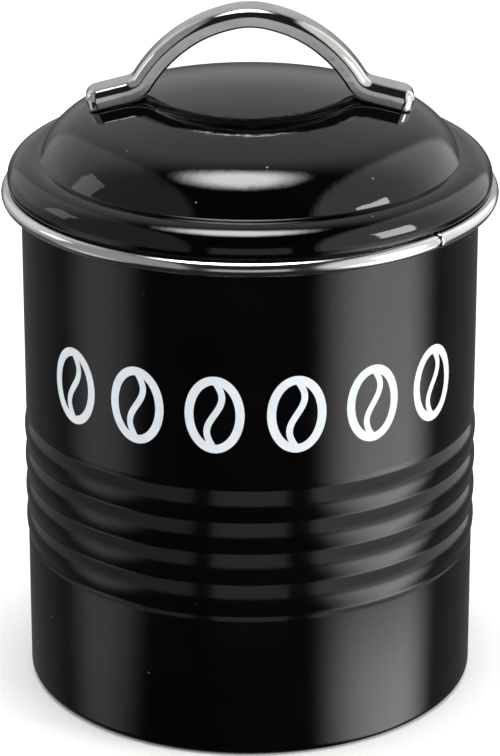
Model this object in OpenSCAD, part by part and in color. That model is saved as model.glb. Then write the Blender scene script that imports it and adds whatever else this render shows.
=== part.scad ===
// Coffee canister: a black steel can with four ribs and a stainless rim ring,
// and a domed lift-off lid with a collar, a seal and a pressed strap handle.
// Millimetres, +Z up, the front faces -Y. The origin is the centre of the foot
// on the surface that the canister stands on.

/* [Canister] */
// Outer diameter of the side wall
can_d = 105; // [90:0.5:150]
// Height of the rim ring's crown above the table
can_h = 121.1; // [100:0.1:200]
// Thickness of the side wall's sheet
wall_t = 0.5; // [0.4:0.05:0.8]
// Outside radius of the corner between side wall and foot
foot_corner_r = 1.9; // [1.2:0.1:3]
// Width of the foot's flat ring, folded in under the base
foot_w = 3.1; // [2.4:0.1:5]

/* [Ribs] */
// Number of ribs round the side wall
rib_count = 4; // [1:1:5]
// Height of one rib
rib_pitch = 7.6; // [6:0.1:10]
// Height of the top edge of the highest rib
rib_top_z = 65.7; // [60:0.1:90]
// How far a rib's crest stands out of the wall
rib_out = 0.4; // [0.2:0.05:0.8]
// How far the groove beside a rib is sunk into the wall
rib_in = 0.15; // [0:0.05:0.4]

/* [Base] */
// Thickness of the base disc's sheet
base_t = 0.5; // [0.4:0.05:0.8]
// How far the panel is raised above the disc's seam
base_rise = 2; // [1:0.1:4]
// Width of the sloping step round the panel
base_step_w = 1.8; // [1:0.1:4]

/* [Rim ring] */
// Diameter of the ring's tube
ring_tube_d = 3.7; // [3:0.1:5]
// Wall thickness of the ring's tube
ring_wall_t = 0.4; // [0.3:0.05:0.6]
// How far the ring stands out of the side wall
ring_overhang = 4.5; // [4:0.1:6]
// Bend radius where the side wall turns out into the ring
flange_bend_r = 0.8; // [0.6:0.1:1]
// Gap of the ring's butt joint
ring_joint_gap = 0.35; // [0.2:0.05:1]
// Angle of the butt joint, from the front towards the right
ring_joint_az = 47.5; // [-180:0.5:180]

/* [Lid] */
// Thickness of the lid's sheet
lid_t = 0.5; // [0.4:0.05:0.8]
// Gap between the rim ring's crown and the lid's hem
lid_gap = 0.3; // [0.2:0.05:0.6]
// How far the lid's edge stays inside the rim ring's outside
lid_inset = 1.45; // [1:0.05:2]
// Height of the straight skirt above the hem's edge
skirt_h = 1.4; // [1.2:0.1:3]
// Width of the lid's rounded shoulder
shoulder_w = 5.95; // [4.5:0.05:7.5]
// Height of the lid's rounded shoulder
shoulder_h = 5.15; // [4:0.05:7]
// Width of the flat ledge between shoulder and dome
ledge_w = 1.4; // [1.2:0.1:3]
// Steepness of the dome where it leaves the ledge
dome_angle = 66.5; // [45:0.5:80]
// Radius of the curve between the dome's wall and its crown
knuckle_r = 17.7; // [12:0.1:22]
// Radius of the dome's crown
crown_r = 130; // [100:1:200]

/* [Collar and seal] */
// Thickness of the collar's sheet
collar_t = 0.5; // [0.4:0.05:0.8]
// How far the collar reaches down into the can, from the rim ring's crown
collar_depth = 12.6; // [10:0.1:20]
// Height of the seal
seal_h = 8; // [6:0.1:9]
// Thickness of the seal from the collar to its lips
seal_w = 1.85; // [1.5:0.05:2.5]
// Depth of the grooves between the seal's lips
seal_groove = 0.9; // [0.4:0.05:1]
// Gap between the seal's lips and the side wall
seal_gap = 0.15; // [0.1:0.05:0.3]

/* [Handle] */
// Height of the handle's top above the dome's crown
handle_rise = 19.4; // [17:0.1:26]
// Distance from the middle to the handle's tip
handle_reach = 37.9; // [36:0.1:42]
// Width of the strap
strap_w = 9; // [9:0.1:12]
// Depth of the strap's channel at the top of the arch
strap_depth = 4.4; // [3.5:0.1:5]
// Thickness of the strap's sheet
strap_t = 1; // [0.8:0.05:1.2]
// Radius of the strap's long upper edges
strap_edge_r = 2.5; // [1.5:0.1:3.5]
// Radius of the arch at its top
arch_top_r = 20; // [16:0.5:24]
// Angle over which the top radius runs, each side
arch_top_angle = 12; // [6:0.5:16]
// Radius of the arch's sides
arch_side_r = 34.2; // [30:0.1:36]
// Steepness of the arch where it meets the foot's bend
leg_angle = 58.5; // [50:0.5:60]
// Radius of the bend between leg and foot
foot_bend_r = 3; // [2:0.1:6]
// Slope of the foot
foot_slope = 14.5; // [12:0.5:17]
// Corner radius of the foot, seen from above
tip_r = 2.8; // [1:0.1:3.5]

/* [Fasteners] */
// Distance of each screw from the middle, along the dome's base plane
screw_x = 32.6; // [32:0.1:34]
// Outer diameter of the screw's thread
screw_d = 3.8; // [3:0.1:4]
// Gap round the thread in the boss
thread_gap = 0.05; // [0.02:0.01:0.1]
// Gap round the thread in the lid
hole_gap = 0.3; // [0.2:0.05:0.5]
// Diameter of the screw's head
head_d = 7; // [6:0.1:8]
// Height of the screw's head
head_h = 2.4; // [1.8:0.1:3]
// Diameter of the washer
washer_d = 9; // [8:0.1:11]
// Thickness of the washer
washer_t = 0.8; // [0.5:0.1:1.2]
// Diameter of the threaded boss
boss_d = 6; // [5.5:0.1:6.4]

/* [Hidden] */
$fn = 96;

// A hair's overlap that joins two shapes, and how far a cutting shape passes right through
eps = 0.01;
cut = 1;

// Canister
can_r = can_d / 2;
can_ri = can_r - wall_t;
ring_tube_r = ring_tube_d / 2;
ring_r = can_r + ring_overhang - ring_tube_r;
ring_z = can_h - ring_tube_r;
flange_r = ring_r + ring_tube_r / 4;
rib_steps = 10;
groove_part = 0.2;
foot_out_r = can_r - foot_corner_r;
foot_in_r = foot_out_r - foot_w;

// Lid: the skirt, the shoulder's quarter oval, the ledge, then the dome's two arcs
lid_r = can_r + ring_overhang - lid_inset;
hem_z = can_h + lid_gap;
shoulder_r = lid_r - shoulder_w;
shoulder_z = hem_z + skirt_h;
ledge_z = shoulder_z + shoulder_h;
dome_r = shoulder_r - ledge_w;
knuckle_x = dome_r - knuckle_r * sin(dome_angle);
knuckle_z = ledge_z - knuckle_r * cos(dome_angle);
crown_angle = asin(knuckle_x / (crown_r - knuckle_r));
crown_z = knuckle_z - (crown_r - knuckle_r) * cos(crown_angle);
dome_top_z = crown_z + crown_r;

// Collar and seal
collar_r = can_ri - seal_gap - seal_w;
collar_bottom_z = can_h - collar_depth;
collar_lip_w = seal_w / 2;
collar_top_z = ledge_z - lid_t;
collar_flange_r = dome_r - lid_t / 2;
seal_bottom_z = collar_bottom_z + collar_t;
seal_lips = 3;

// Handle: the arch's two radii, the bend into the foot, and the channel's growth in depth
handle_top_z = dome_top_z + handle_rise;
arch_top_c = [0, handle_top_z - arch_top_r];
arch_side_c = arch_top_c + (arch_top_r - arch_side_r) * [sin(arch_top_angle), cos(arch_top_angle)];
leg_end = arch_side_c + arch_side_r * [sin(leg_angle), cos(leg_angle)];
foot_bend_c = leg_end + foot_bend_r * [sin(leg_angle), cos(leg_angle)];
foot_start = foot_bend_c - foot_bend_r * [sin(foot_slope), cos(foot_slope)];
foot_depth = strap_depth + strap_edge_r;
depth_growth = 0.03;
tip_clear = 5;

// Fasteners: where each screw's axis meets the sheet of the foot, the boss and the washer
screw_angle = asin(screw_x / crown_r);
screw_axis = [sin(screw_angle), cos(screw_angle)];
screw_r = screw_d / 2;
screw_end_gap = 2;
foot_normal = [sin(foot_slope), cos(foot_slope)];
foot_under = ((foot_start - [0, crown_z]) * foot_normal - strap_t) / (screw_axis * foot_normal);
boss_r = boss_d / 2;
boss_chamfer = max(0, boss_r - strap_w / 2 + strap_edge_r);
boss_top = foot_under - (boss_r - boss_chamfer) * abs(tan(foot_slope - screw_angle));
washer_top = sqrt(pow(crown_r - lid_t, 2) - pow(washer_d / 2, 2));
washer_seat = washer_top - washer_t;

// ---- Outlines ----

// Points of an arc about c, from angle a0 to a1
function arc(c, r, a0, a1, n) = oval(c, r, r, a0, a1, n);

// Points of an oval arc about c, with its two half sizes
function oval(c, rx, ry, a0, a1, n) =
    [for (i = [0:n]) let (a = a0 + (a1 - a0) * i / n) c + [rx * cos(a), ry * sin(a)]];

function direction(p, i) = (p[i + 1] - p[i]) / norm(p[i + 1] - p[i]);

// Left-hand normal of a segment of the line p
function normal(p, i) = let (d = direction(p, i)) [-d[1], d[0]];

// Where the line's corner i goes when both its sides move left by t, and never past the axis
function mitred(p, i, t) =
    let (
        a = normal(p, max(i - 1, 0)),
        b = normal(p, min(i, len(p) - 2)),
        q = p[i] + t * (a + b) / (1 + a * b)
    )
    [max(q[0], 0), q[1]];

// Closed outline of a sheet whose one face is the line p, with thickness t to its left
function sheet(p, t) = concat(p, [for (i = [len(p) - 1:-1:0]) mitred(p, i, t)]);

// ---- Canister ----

// How far the side wall stands out at height z: a row of half waves, with a groove at each end
function rib(z) =
    let (u = (rib_top_z - z) / rib_pitch)
    (u < 0 || u > rib_count) ? -rib_in * groove(min(abs(u), abs(u - rib_count)))
        : (rib_out + rib_in) * abs(sin(180 * u)) - rib_in;

// Fades a groove out into the plain wall over a fifth of a rib
function groove(u) = u > groove_part ? 0 : (1 + cos(180 * u / groove_part)) / 2;

// Outer face of the side wall, from the foot to the flange inside the rim ring
function wall_line() =
    let (
        rib_low = rib_top_z - rib_pitch * (rib_count + groove_part),
        steps = rib_steps * (rib_count + 2 * groove_part),
        bend_z = ring_z - wall_t / 2 - flange_bend_r
    )
    concat(
        [[foot_in_r, 0]],
        arc([foot_out_r, foot_corner_r], foot_corner_r, -90, 0, 6),
        [for (i = [0:steps]) let (z = rib_low + i * rib_pitch / rib_steps) [can_r + rib(z), z]],
        arc([can_r + flange_bend_r, bend_z], flange_bend_r, 180, 90, 6),
        [[flange_r, ring_z - wall_t / 2]]
    );

module body_wall() {
    color([0.06, 0.06, 0.07])
        rotate_extrude() polygon(sheet(wall_line(), wall_t));
}

// Underside of the base disc, from its seam on the foot to the middle
function base_line() =
    let (seam_in_r = foot_in_r - base_t)
    [
        [foot_out_r - eps, wall_t],
        [seam_in_r, wall_t],
        [seam_in_r - base_step_w, wall_t + base_rise],
        [0, wall_t + base_rise]
    ];

module base_disc() {
    color([0.08, 0.08, 0.09])
        rotate_extrude() polygon(sheet(base_line(), -base_t));
}

// The ring's section: a thin tube with a slot on its inner side for the side wall's flange
module ring_section() {
    difference() {
        circle(ring_tube_r);
        circle(ring_tube_r - ring_wall_t);
        translate([-ring_tube_r - cut, -wall_t / 2]) square([ring_tube_r + cut, wall_t]);
    }
}

module rim_ring() {
    gap_angle = 2 * asin(ring_joint_gap / 2 / ring_r);
    color([0.78, 0.76, 0.72])
        translate([0, 0, ring_z])
        rotate([0, 0, ring_joint_az - 90 + gap_angle / 2])
        rotate_extrude(angle = 360 - gap_angle)
        translate([ring_r, 0]) ring_section();
}

// ---- Lid ----

// The dome's outer face, from the ledge to the middle
function dome_line() = concat(
    arc([knuckle_x, knuckle_z], knuckle_r, 90 - dome_angle, 90 - crown_angle, 14),
    [for (i = [1:12]) let (a = crown_angle * (1 - i / 12))
        [crown_r * sin(a), crown_z + crown_r * cos(a)]]
);

// Outer face of the lid, from the hem's edge to the middle
function lid_line() = concat(
    [[lid_r, hem_z]],
    oval([shoulder_r, shoulder_z], shoulder_w, shoulder_h, 0, 90, 12),
    dome_line()
);

// Places its children on the axis of each screw, at a distance from the crown's centre
module at_screws(distance) {
    for (side = [-1, 1])
        translate([0, 0, crown_z]) rotate([0, side * screw_angle, 0])
            translate([0, 0, distance]) children();
}

module lid_shell() {
    color([0.05, 0.05, 0.06]) difference() {
        rotate_extrude() union() {
            polygon(sheet(lid_line(), lid_t));
            translate([lid_r - 2 * lid_t, hem_z]) square([lid_t + eps, skirt_h]);
        }
        at_screws(crown_r - 3 * lid_t) cylinder(r = screw_r + hole_gap, h = 6 * lid_t);
    }
}

// Outer face of the collar, from the weld flange under the ledge to the lip below the seal
function collar_line() = [
    [collar_flange_r, collar_top_z],
    [shoulder_r, collar_top_z],
    [collar_r, collar_top_z - shoulder_h / 2],
    [collar_r, collar_bottom_z + collar_t],
    [collar_r + collar_lip_w, collar_bottom_z + collar_t]
];

module lid_collar() {
    color([0.72, 0.72, 0.73])
        rotate_extrude() polygon(sheet(collar_line(), -collar_t));
}

// The seal: a sleeve round the collar with lips that bear on the side wall
module seal_ring() {
    lip_pitch = seal_h / seal_lips;
    groove_h = lip_pitch / 2;
    color([0.86, 0.86, 0.84]) rotate_extrude() difference() {
        translate([collar_r, seal_bottom_z]) square([seal_w, seal_h]);
        for (i = [0:seal_lips - 1])
            translate([collar_r + seal_w - seal_groove, seal_bottom_z + (i + 0.5) * lip_pitch])
                square([seal_groove + cut, groove_h + (i == seal_lips - 1 ? cut : 0)]);
    }
}

// ---- Handle ----

// Stations along the top of the strap's right half: place [x, z] and slope
function strap_arc(c, r, a0, a1, n) =
    [for (i = [0:n]) let (a = a0 + (a1 - a0) * i / n) [c + r * [sin(a), cos(a)], a, 1]];

// Stations along the foot, whose width narrows round the tip's corners
function strap_foot(end_x, corner_r) =
    let (length = (end_x - foot_start[0]) / cos(foot_slope))
    [for (i = [0:6])
        let (
            back = corner_r * (1 - sin(15 * i)),
            narrow = 1 - corner_r * (1 - cos(15 * i)) / (strap_w / 2)
        )
        [foot_start + (length - back) * [cos(foot_slope), -sin(foot_slope)], foot_slope, narrow]];

function half_strap(end_x, corner_r) = concat(
    strap_arc(arch_top_c, arch_top_r, 0, arch_top_angle, 4),
    [for (i = [1:14]) strap_arc(arch_side_c, arch_side_r, arch_top_angle, leg_angle, 14)[i]],
    [for (i = [1:6]) strap_arc(foot_bend_c, -foot_bend_r, leg_angle, foot_slope, 6)[i]],
    strap_foot(end_x, corner_r)
);

// Both halves, from the left tip to the right one
function full_strap(half) = concat(
    [for (i = [len(half) - 1:-1:1]) let (s = half[i]) [[-s[0][0], s[0][1]], -s[1], s[2]]],
    half
);

// Section of the bar: [y, n] with n below the strap's top, rounded at its upper edges
function bar_section(half_w, top, edge_r, bottom) = concat(
    [[-half_w, -bottom]],
    arc([edge_r - half_w, -top - edge_r], edge_r, 180, 90, 5),
    arc([half_w - edge_r, -top - edge_r], edge_r, 90, 0, 5),
    [[half_w, -bottom]]
);

// A solid bar swept along the strap
module bar(half, inset, bottom) {
    stations = full_strap(half);
    half_w = strap_w / 2 - inset;
    section = bar_section(half_w, inset, strap_edge_r - inset, bottom);
    k = len(section);
    last = len(stations) - 1;
    points = [for (s = stations, q = section)
        [s[0][0] + sin(s[1]) * q[1], q[0] * s[2], s[0][1] + cos(s[1]) * q[1]]];
    sides = [for (i = [0:last - 1], j = [0:k - 1])
        let (a = i * k + j, b = i * k + (j + 1) % k, c = b + k, d = a + k)
        each [[a, b, c], [a, c, d]]];
    ends = [[for (j = [k - 1:-1:0]) j], [for (j = [0:k - 1]) last * k + j]];
    polyhedron(points, concat(sides, ends));
}

module handle() {
    color([0.8, 0.8, 0.8]) difference() {
        intersection() {
            bar(half_strap(handle_reach, tip_r), 0, foot_depth);
            strap_depth_limit();
        }
        bar(half_strap(handle_reach - strap_t, max(tip_r - strap_t, eps)), strap_t, foot_depth + cut);
        lid_form();
    }
}

// Everything above the strap's lower edge, which is one depth below its top all along
module strap_depth_limit() {
    side = handle_reach + tip_clear;
    top = handle_top_z + tip_clear;
    deep = [for (s = full_strap(half_strap(side, eps)))
        let (growth = depth_growth * max(0, abs(s[0][0]) - leg_end[0] / 2))
        s[0] - (strap_depth + growth) * [sin(s[1]), cos(s[1])]];
    rotate([90, 0, 0]) linear_extrude(strap_w + 2 * cut, center = true)
        polygon(concat(deep, [[side, top], [-side, top]]));
}

// Solid form of the space below the lid's dome
module lid_form() {
    rotate_extrude() polygon(concat(dome_line(), [[0, ledge_z], [dome_r, ledge_z - eps]]));
}

// Threaded bosses, each chamfered at its top to sit between the channel's rounded edges
module handle_bosses() {
    boss_h = boss_top - crown_r;
    color([0.6, 0.6, 0.6]) difference() {
        at_screws(crown_r) rotate_extrude() polygon([
            [0, 0], [boss_r, 0], [boss_r, boss_h - boss_chamfer], [boss_r - boss_chamfer, boss_h], [0, boss_h]
        ]);
        at_screws(crown_r - cut) cylinder(r = screw_r + thread_gap, h = boss_h);
    }
}

// Pan head with a cross recess, its seat at z = 0 and its thread upwards
module screw(thread_l) {
    recess_w = head_d / 8;
    difference() {
        union() {
            rotate_extrude() polygon(concat(
                [[0, 0], [head_d / 2, 0]],
                oval([0, -head_h / 3], head_d / 2, -head_h * 2 / 3, 0, 90, 8)
            ));
            cylinder(r = screw_r, h = thread_l);
        }
        for (turn = [0, 90]) rotate([0, 0, turn])
            translate([-head_d / 4, -recess_w / 2, -head_h - cut])
                cube([head_d / 2, recess_w, head_h / 2 + cut]);
    }
}

module handle_screws() {
    color([0.75, 0.75, 0.76]) at_screws(washer_seat) screw(boss_top - washer_seat - screw_end_gap);
}

module handle_washers() {
    color([0.7, 0.7, 0.71]) at_screws(washer_seat) difference() {
        cylinder(r = washer_d / 2, h = washer_t);
        translate([0, 0, -cut]) cylinder(r = screw_r + hole_gap, h = washer_t + 2 * cut);
    }
}

body_wall();
base_disc();
rim_ring();
lid_shell();
lid_collar();
seal_ring();
handle();
handle_bosses();
handle_screws();
handle_washers();
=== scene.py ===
"""A coffee canister: a black coated steel can with a stainless rim ring, and a domed lift-off lid.

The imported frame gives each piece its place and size. Every piece is then rebuilt as a smooth mesh,
dressed in its own finish and set on the body that it moves with. Lengths are metres, +Z is up and
the front faces -Y.
"""

import logging
from dataclasses import dataclass, field
from enum import Enum
from math import acos, asin, cos, degrees, hypot, pi, radians, sin, sqrt
from typing import Sequence, Union

import bmesh
import bpy
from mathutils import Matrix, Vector


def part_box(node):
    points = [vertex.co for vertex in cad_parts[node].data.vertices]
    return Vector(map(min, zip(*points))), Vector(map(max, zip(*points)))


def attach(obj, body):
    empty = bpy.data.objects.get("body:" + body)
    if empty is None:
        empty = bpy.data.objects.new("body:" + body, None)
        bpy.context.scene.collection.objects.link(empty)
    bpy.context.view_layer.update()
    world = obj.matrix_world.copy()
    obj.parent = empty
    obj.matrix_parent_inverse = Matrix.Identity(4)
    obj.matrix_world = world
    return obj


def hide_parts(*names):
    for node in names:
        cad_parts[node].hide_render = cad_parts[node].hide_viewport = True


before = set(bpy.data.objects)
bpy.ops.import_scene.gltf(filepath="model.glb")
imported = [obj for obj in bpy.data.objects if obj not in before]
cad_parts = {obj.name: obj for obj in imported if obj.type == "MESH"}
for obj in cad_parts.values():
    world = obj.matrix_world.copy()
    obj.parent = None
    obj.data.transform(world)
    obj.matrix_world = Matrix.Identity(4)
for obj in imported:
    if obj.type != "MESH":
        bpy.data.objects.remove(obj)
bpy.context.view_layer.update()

LOG = logging.getLogger("canister")
MM = 0.001
Point = tuple[float, float]
Colour = tuple[float, float, float]
Value = Union[float, int, bool, Sequence[float], "Signal"]


class Body(Enum):
    """The two bodies of the canister."""

    CAN = "canister"
    LID = "lid"


class Slot(Enum):
    """The record's material slots."""

    BODY_COAT = "body_coat"
    BASE_COAT = "base_coat"
    RING_STEEL = "ring_steel"
    LID_COAT = "lid_coat"
    COLLAR_STEEL = "collar_steel"
    SEAL = "seal_silicone"
    CHROME = "handle_chrome"
    FASTENER = "fastener_steel"
    INK = "print_ink"


# ---- Node trees ----


class Signal:
    """A node's output socket that takes part in Python arithmetic by adding Math nodes."""

    def __init__(self, tree: "Tree", socket: bpy.types.NodeSocket) -> None:
        """Wraps a socket of a tree."""
        self.tree = tree
        self.socket = socket

    def _math(self, operation: str, *values: Value) -> "Signal":
        """Adds one Math node whose inputs are the given values, in order."""
        node = self.tree.node("ShaderNodeMath", {"operation": operation}, dict(enumerate(values)))
        return Signal(self.tree, node.outputs[0])

    def __add__(self, other: Value) -> "Signal":
        """self + other."""
        return self._math("ADD", self, other)

    __radd__ = __add__

    def __mul__(self, other: Value) -> "Signal":
        """self * other."""
        return self._math("MULTIPLY", self, other)

    __rmul__ = __mul__

    def __sub__(self, other: Value) -> "Signal":
        """self - other."""
        return self._math("SUBTRACT", self, other)

    def __rsub__(self, other: Value) -> "Signal":
        """other - self."""
        return self._math("SUBTRACT", other, self)

    def __truediv__(self, other: Value) -> "Signal":
        """self / other."""
        return self._math("DIVIDE", self, other)

    def __abs__(self) -> "Signal":
        """Size of self without its sign."""
        return self._math("ABSOLUTE", self)

    def __lt__(self, other: Value) -> "Signal":
        """1 where self < other, else 0."""
        return self._math("LESS_THAN", self, other)

    def power(self, exponent: Value) -> "Signal":
        """self to a power."""
        return self._math("POWER", self, exponent)

    def sine(self) -> "Signal":
        """Sine of self, in radians."""
        return self._math("SINE", self)

    def cosine(self) -> "Signal":
        """Cosine of self, in radians."""
        return self._math("COSINE", self)

    def least(self, other: Value) -> "Signal":
        """The smaller of self and other."""
        return self._math("MINIMUM", self, other)

    def most(self, other: Value) -> "Signal":
        """The larger of self and other."""
        return self._math("MAXIMUM", self, other)

    def ramp(self, low: float, high: float) -> "Signal":
        """Smooth step from 0 at low to 1 at high, either way round."""
        flip = low > high
        node = self.tree.node(
            "ShaderNodeMapRange",
            {"interpolation_type": "SMOOTHSTEP"},
            {0: self, 1: min(low, high), 2: max(low, high), 3: float(flip), 4: float(not flip)},
        )
        return Signal(self.tree, node.outputs[0])


class Tree:
    """A node tree, with one method that adds any node."""

    def __init__(self, tree: bpy.types.NodeTree) -> None:
        """Wraps a Blender node tree."""
        self.tree = tree

    def node(self, kind: str, settings: dict | None = None, inputs: dict | None = None) -> bpy.types.Node:
        """Adds a node.

        Args:
            kind: The node's type name.
            settings: Properties, set first.
            inputs: Values or Signals by socket name or number.

        Returns:
            The new node.
        """
        node = self.tree.nodes.new(kind)
        for name, value in (settings or {}).items():
            setattr(node, name, value)
        for key, value in (inputs or {}).items():
            socket = node.inputs[key]
            if isinstance(value, Signal):
                self.tree.links.new(value.socket, socket)
            else:
                socket.default_value = value
        return node

    def signal(self, kind: str, settings: dict | None = None, inputs: dict | None = None,
               output: int | str = 0) -> Signal:
        """Adds a node and returns one of its outputs."""
        return Signal(self, self.node(kind, settings, inputs).outputs[output])

    def vector(self, x: Value, y: Value, z: Value) -> Signal:
        """A vector from three numbers."""
        return self.signal("ShaderNodeCombineXYZ", None, {0: x, 1: y, 2: z})

    def split(self, vector: Signal) -> list[Signal]:
        """The three numbers of a vector."""
        node = self.node("ShaderNodeSeparateXYZ", None, {0: vector})
        return [Signal(self, socket) for socket in node.outputs]


class SurfaceTree(Tree):
    """The node tree of a finish, which starts at Object coordinates and ends in a Principled BSDF."""

    def __init__(self, name: str) -> None:
        """Makes a material of that name with an empty tree."""
        self.material = bpy.data.materials.new(name)
        self.material.use_nodes = True
        self.material.node_tree.nodes.clear()
        super().__init__(self.material.node_tree)
        self.place = self.signal("ShaderNodeTexCoord", output="Object")

    def noise(self, scale: float, detail: float = 3.0, stretch: Sequence[float] = (1, 1, 1),
              rough: float = 0.5) -> Signal:
        """Noise from 0 to 1 over the piece.

        Args:
            scale: Grains per metre.
            detail: Octaves.
            stretch: Scale along each axis, before the noise.
            rough: Weight of the finer octaves.

        Returns:
            The noise's strength.
        """
        spot = self.signal("ShaderNodeMapping", None, {"Vector": self.place, "Scale": stretch})
        return self.signal(
            "ShaderNodeTexNoise", None,
            {"Vector": spot, "Scale": scale, "Detail": detail, "Roughness": rough},
        )

    def specks(self, scale: float, size: float) -> Signal:
        """Small sparse spots: 1 in a spot, 0 between them.

        Args:
            scale: Cells per metre.
            size: Radius of the largest spot as a part of its cell.

        Returns:
            The spots' mask.
        """
        cells = self.node("ShaderNodeTexVoronoi", None, {"Vector": self.place, "Scale": scale})
        share = self.split(Signal(self, cells.outputs["Color"]))[0]
        return (Signal(self, cells.outputs["Distance"]) / (share.power(6) * size + 1e-4)).ramp(1.0, 0.6)

    def mix(self, factor: Value, a: Colour, b: Colour | Signal) -> Signal:
        """A colour between a and b."""
        inputs = {0: factor, 6: (*a, 1.0), 7: b if isinstance(b, Signal) else (*b, 1.0)}
        return self.signal("ShaderNodeMix", {"data_type": "RGBA"}, inputs, 2)

    def bump(self, height: Signal, depth: float, under: Signal | None = None) -> Signal:
        """A normal bent by a height.

        Args:
            height: Height from 0 to 1.
            depth: What a height of 1 stands for, in metres.
            under: Another bump's normal, to add to.

        Returns:
            The bent normal.
        """
        inputs = {"Height": height, "Distance": depth, "Strength": 1.0}
        if under is not None:
            inputs["Normal"] = under
        return self.signal("ShaderNodeBump", None, inputs)

    def finish(self, **sockets: Value) -> bpy.types.Material:
        """Ends the tree in a Principled BSDF.

        Args:
            **sockets: The shader's inputs, with _ for a space.

        Returns:
            The material.
        """
        inputs = {name.replace("_", " "): value for name, value in sockets.items()}
        shader = self.node("ShaderNodeBsdfPrincipled", None, inputs)
        self.node("ShaderNodeOutputMaterial", None, {"Surface": Signal(self, shader.outputs[0])})
        return self.material


class ShapeTree(Tree):
    """A Geometry Nodes tree whose sizes are named inputs."""

    def __init__(self, name: str, **sizes: Value) -> None:
        """Makes the tree.

        Args:
            name: The tree's name.
            **sizes: Its number inputs and their values; whole numbers make whole-number inputs.
        """
        super().__init__(bpy.data.node_groups.new(name, "GeometryNodeTree"))
        self.values: dict[str, Value] = {}
        face = self.tree.interface
        face.new_socket("Geometry", in_out="OUTPUT", socket_type="NodeSocketGeometry")
        face.new_socket("Geometry", in_out="INPUT", socket_type="NodeSocketGeometry")
        for label, value in sizes.items():
            kind = "NodeSocketInt" if isinstance(value, int) else "NodeSocketFloat"
            socket = face.new_socket(label.replace("_", " ").title(), in_out="INPUT", socket_type=kind)
            self.values[socket.identifier] = value
        coat = face.new_socket("Finish", in_out="INPUT", socket_type="NodeSocketMaterial")
        self.coat_input = coat.identifier
        self.entry = self.node("NodeGroupInput")
        self.shape = Signal(self, self.entry.outputs[0])

    def size(self, label: str) -> Signal:
        """The named input as a Signal."""
        return Signal(self, self.entry.outputs[label])

    def bake(self, piece: bpy.types.Object, shape: Signal, coat: bpy.types.Material) -> bpy.types.Object:
        """Ends the tree, runs it on a piece and keeps the result as the piece's plain mesh.

        Args:
            piece: The object that the tree starts from.
            shape: The finished geometry.
            coat: The finish.

        Returns:
            The piece.
        """
        real = self.signal("GeometryNodeRealizeInstances", None, {0: shape})
        done = self.signal(
            "GeometryNodeSetMaterial", None, {"Geometry": real, "Material": self.size("Finish")}
        )
        self.node("NodeGroupOutput", None, {0: done})
        modifier = piece.modifiers.new(self.tree.name, "NODES")
        modifier.node_group = self.tree
        for identifier, value in self.values.items():
            modifier[identifier] = value
        modifier[self.coat_input] = coat
        return settle(piece)


# ---- Meshes ----


def settle(piece: bpy.types.Object) -> bpy.types.Object:
    """Replaces a piece's mesh by the result of its modifiers, and removes them."""
    bpy.context.view_layer.update()
    graph = bpy.context.evaluated_depsgraph_get()
    mesh = bpy.data.meshes.new_from_object(piece.evaluated_get(graph), depsgraph=graph)
    piece.modifiers.clear()
    piece.data = mesh
    return piece


def arc(centre: Point, size: float | Point, start: float, end: float, steps: int) -> list[Point]:
    """Points of an arc or an oval arc.

    Args:
        centre: Its centre.
        size: Its radius, or its two half sizes.
        start: First angle in degrees.
        end: Last angle in degrees.
        steps: Number of segments.

    Returns:
        The points, both ends included.
    """
    rx, rz = size if isinstance(size, tuple) else (size, size)
    angles = [radians(start + (end - start) * i / steps) for i in range(steps + 1)]
    return [(centre[0] + rx * cos(a), centre[1] + rz * sin(a)) for a in angles]


def soften(line: list[Point], radius: float, steps: int = 5) -> list[Point]:
    """Rounds the inner corners of a line.

    Args:
        line: The line's points.
        radius: Radius of each rounding.
        steps: Segments in each rounding.

    Returns:
        The rounded line.
    """
    nearly_straight, least_slope = 1.5, 0.05
    out = [line[0]]
    for before, corner, after in zip(line, line[1:], line[2:]):
        a, b, c = Vector(before), Vector(corner), Vector(after)
        u, v = (a - b).normalized(), (c - b).normalized()
        half = acos(max(-1.0, min(1.0, u.dot(v)))) / 2
        if half > nearly_straight:
            out.append(corner)
            continue
        reach = radius / max(sin(half) / cos(half), least_slope)
        reach = min(reach, (a - b).length / 2, (c - b).length / 2)
        for i in range(steps + 1):
            t = i / steps
            near, far = b + u * reach * (1 - t), b + v * reach * t
            out.append(tuple(near.lerp(far, t)))
    return out + [line[-1]]


def offset(line: list[Point], distance: float) -> list[Point]:
    """A line moved to its left, with mitred corners, and never past the axis."""
    normals = []
    for a, b in zip(line, line[1:]):
        length = hypot(b[0] - a[0], b[1] - a[1])
        normals.append(((a[1] - b[1]) / length, (b[0] - a[0]) / length))
    out = []
    for i, (x, z) in enumerate(line):
        m, n = normals[max(i - 1, 0)], normals[min(i, len(normals) - 1)]
        k = distance / (1 + m[0] * n[0] + m[1] * n[1])
        out.append((max(x + k * (m[0] + n[0]), 0.0), z + k * (m[1] + n[1])))
    return out


def sheet(line: list[Point], thickness: float) -> list[Point]:
    """Closed outline of a sheet: the line, then the same line moved to its left."""
    return line + offset(line, thickness)[::-1]


def make_piece(name: str, vertices: list, faces: list, sharp: float = 32.0) -> bpy.types.Object:
    """Makes a closed, outward-facing, smooth-shaded piece.

    Args:
        name: The piece's name.
        vertices: Its points.
        faces: Its faces as point numbers.
        sharp: Angle in degrees above which an edge is sharp.

    Returns:
        The piece, linked into the scene.
    """
    mesh = bpy.data.meshes.new(name)
    mesh.from_pydata(vertices, [], faces)
    piece = bpy.data.objects.new(name, mesh)
    bpy.context.scene.collection.objects.link(piece)
    return smooth(piece, sharp)


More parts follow.
